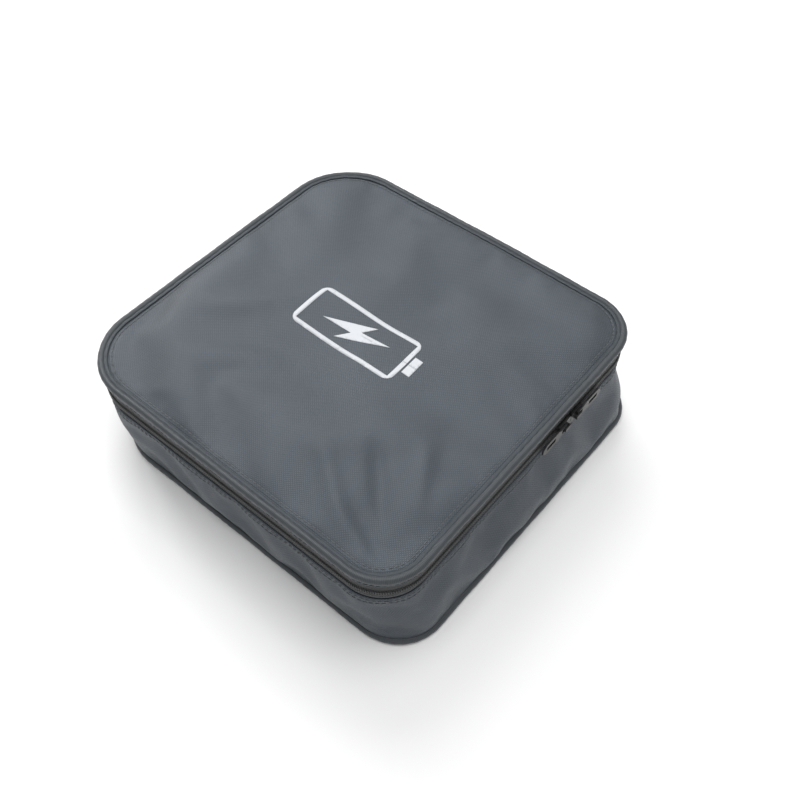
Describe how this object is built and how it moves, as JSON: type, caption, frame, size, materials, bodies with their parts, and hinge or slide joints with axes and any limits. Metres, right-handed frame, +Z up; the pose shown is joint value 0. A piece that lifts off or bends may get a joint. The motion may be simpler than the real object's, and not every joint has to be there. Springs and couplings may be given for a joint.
{
  "type": "battery safe bag",
  "caption": "Square soft zip case with rounded corners, padded walls and a hinged crowned lid, for storing and charging model batteries.",
  "frame": {"origin": "on the floor under the middle of the shell's outline", "axes": "+X along the front wall to the right, +Y to the hinged back wall, +Z up"},
  "size_m": [0.2639, 0.268, 0.0826],
  "materials": {
    "shell_fabric": "fine plain weave, satin",
    "binding": "woven tape, dull",
    "foam": "closed-cell foam",
    "board": "plain sheet",
    "lining": "glass-fibre cloth, grey",
    "zip_tape": "herringbone tape",
    "zip_coil": "nylon coil",
    "metal": "black paint, semi-gloss",
    "print": "screen print, matt white",
    "webbing": "polypropylene webbing"
  },
  "bodies": {
    "base": {"bottom_panel": "shell_fabric", "bottom_board": "board", "bottom_padding": "foam", "floor_lining": "lining", "bottom_piping": "binding", "base_gusset": "shell_fabric", "base_padding": "foam", "base_wall_lining": "lining", "zipper_tape_lower": "zip_tape", "zipper_coil_lower": "zip_coil", "handle_webbing": "webbing", "spine_strip": "shell_fabric", "spine_lining": "lining"},
    "lid": {"top_panel": "shell_fabric", "top_border": "binding", "top_padding": "foam", "emblem_print": "print", "top_piping": "binding", "top_lining": "lining", "lid_gusset": "shell_fabric", "lid_padding": "foam", "lid_wall_lining": "lining", "zipper_tape_upper": "zip_tape", "zipper_coil_upper": "zip_coil"},
    "slider_front": {"zip_slider_front": "metal"},
    "pull_front": {"zip_pull_front": "metal"},
    "slider_rear": {"zip_slider_rear": "metal"},
    "pull_rear": {"zip_pull_rear": "metal"}
  },
  "joints": [
    {"name": "lid_hinge", "type": "hinge", "parent": "base", "child": "lid", "pos_m": [0, 0.131, 0.062], "axis": [-1, 0, 0], "range_deg": [0, 180], "deforming": ["spine_strip", "spine_lining"]},
    {"name": "slider_front_travel", "type": "slide", "parent": "base", "child": "slider_front", "axis": [0, 1, 0], "range_m": [-0.108, 0]},
    {"name": "slider_rear_travel", "type": "slide", "parent": "base", "child": "slider_rear", "axis": [0, 1, 0], "range_m": [0, 0.024]},
    {"name": "pull_front_swing", "type": "hinge", "parent": "slider_front", "child": "pull_front", "pos_m": [0.13175, 0.0368, 0.062], "axis": [0, 0, 1], "range_deg": [0, 100]},
    {"name": "pull_rear_swing", "type": "hinge", "parent": "slider_rear", "child": "pull_rear", "pos_m": [0.13175, 0.0492, 0.062], "axis": [0, 0, -1], "range_deg": [0, 100]}
  ]
}
